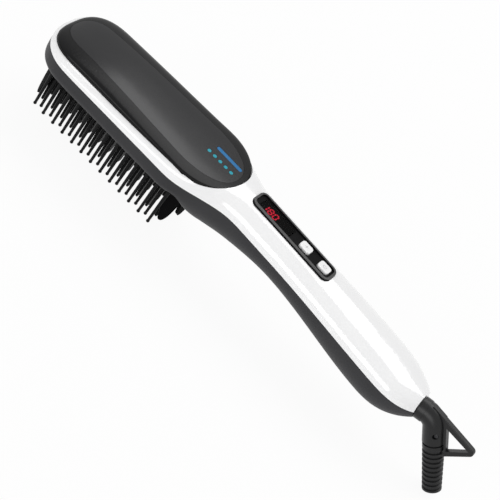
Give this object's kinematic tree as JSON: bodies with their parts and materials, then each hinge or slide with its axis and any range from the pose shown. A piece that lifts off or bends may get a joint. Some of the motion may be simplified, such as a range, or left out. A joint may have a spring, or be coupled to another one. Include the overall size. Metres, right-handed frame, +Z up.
{
  "type": "hair straightening brush",
  "caption": "Paddle hair straightening brush: heated comb teeth between cool guard pins, level lights, display with push buttons, swivel tail with hanging eye.",
  "frame": {"origin": "middle of the brush's footprint at the level of its lowest point, the end of the cord sleeve", "axes": "+X along the brush from the head's tip to the tail, +Y across it, +Z up, away from the bristle tips"},
  "size_m": [0.3044, 0.0566, 0.0565],
  "materials": {
    "shell_white": "smooth gloss",
    "shell_charcoal": "satin",
    "cover_black": "gloss",
    "inlay_grey": "gloss",
    "lens_cyan": "translucent",
    "lens_blue": "translucent",
    "board_green": "solder resist",
    "led_body": "moulded",
    "pane_smoked": "smoked",
    "display_black": "moulded",
    "button_white": "gloss",
    "switch_black": "moulded",
    "plunger_brown": "moulded",
    "screw_steel": "zinc plated",
    "bed_black": "moulded",
    "comb_black": "ceramic coated aluminium",
    "pin_black": "moulded",
    "plate_aluminium": "cast",
    "ptc_ceramic": "ceramic in foil",
    "film_amber": "polyimide film",
    "spring_steel": "rolled",
    "fuse_metal": "drawn",
    "bead_glass": "glass sealed",
    "bush_white": "acetal",
    "elbow_black": "moulded",
    "sleeve_rubber": "soft moulded"
  },
  "bodies": {
    "housing": {"upper_shell": "shell_white", "lower_shell": "shell_charcoal", "top_cover": "cover_black", "cover_inlay": "inlay_grey", "level_lenses": "lens_cyan", "light_bar": "lens_blue", "indicator_board": "board_green", "indicator_leds": "led_body", "control_bezel": "cover_black", "display_window": "pane_smoked", "led_display": "display_black", "tact_switches": "switch_black", "control_board": "board_green", "board_screws": "screw_steel", "case_screws": "screw_steel", "bristle_bed": "bed_black", "heated_teeth": "comb_black", "outer_pins": "pin_black", "inner_pins": "pin_black", "end_guards": "pin_black", "heater_plate": "plate_aluminium", "ptc_heaters": "ptc_ceramic", "heater_insulator": "film_amber", "heater_clamp": "spring_steel", "clamp_screws": "screw_steel", "thermal_fuse": "fuse_metal", "temperature_sensor": "bead_glass", "swivel_bush": "bush_white"},
    "tail": {"swivel_elbow": "elbow_black", "hang_loop": "elbow_black", "loop_screw": "screw_steel", "cord_sleeve": "sleeve_rubber", "swivel_clip": "spring_steel"},
    "front_key": {"front_button": "button_white", "front_plunger": "plunger_brown"},
    "rear_key": {"rear_button": "button_white", "rear_plunger": "plunger_brown"}
  },
  "joints": [
    {"name": "tail_swivel", "type": "hinge", "parent": "housing", "child": "tail", "pos_m": [0.11425, 0, 0.03529], "axis": [0.9781, 0, 0.2079], "continuous": true},
    {"name": "front_press", "type": "slide", "parent": "housing", "child": "front_key", "axis": [-0.053, 0, -0.9986], "range_m": [0, 0.0005], "stiffness_N_per_m": 3000},
    {"name": "rear_press", "type": "slide", "parent": "housing", "child": "rear_key", "axis": [-0.053, 0, -0.9986], "range_m": [0, 0.0005], "stiffness_N_per_m": 3000}
  ]
}
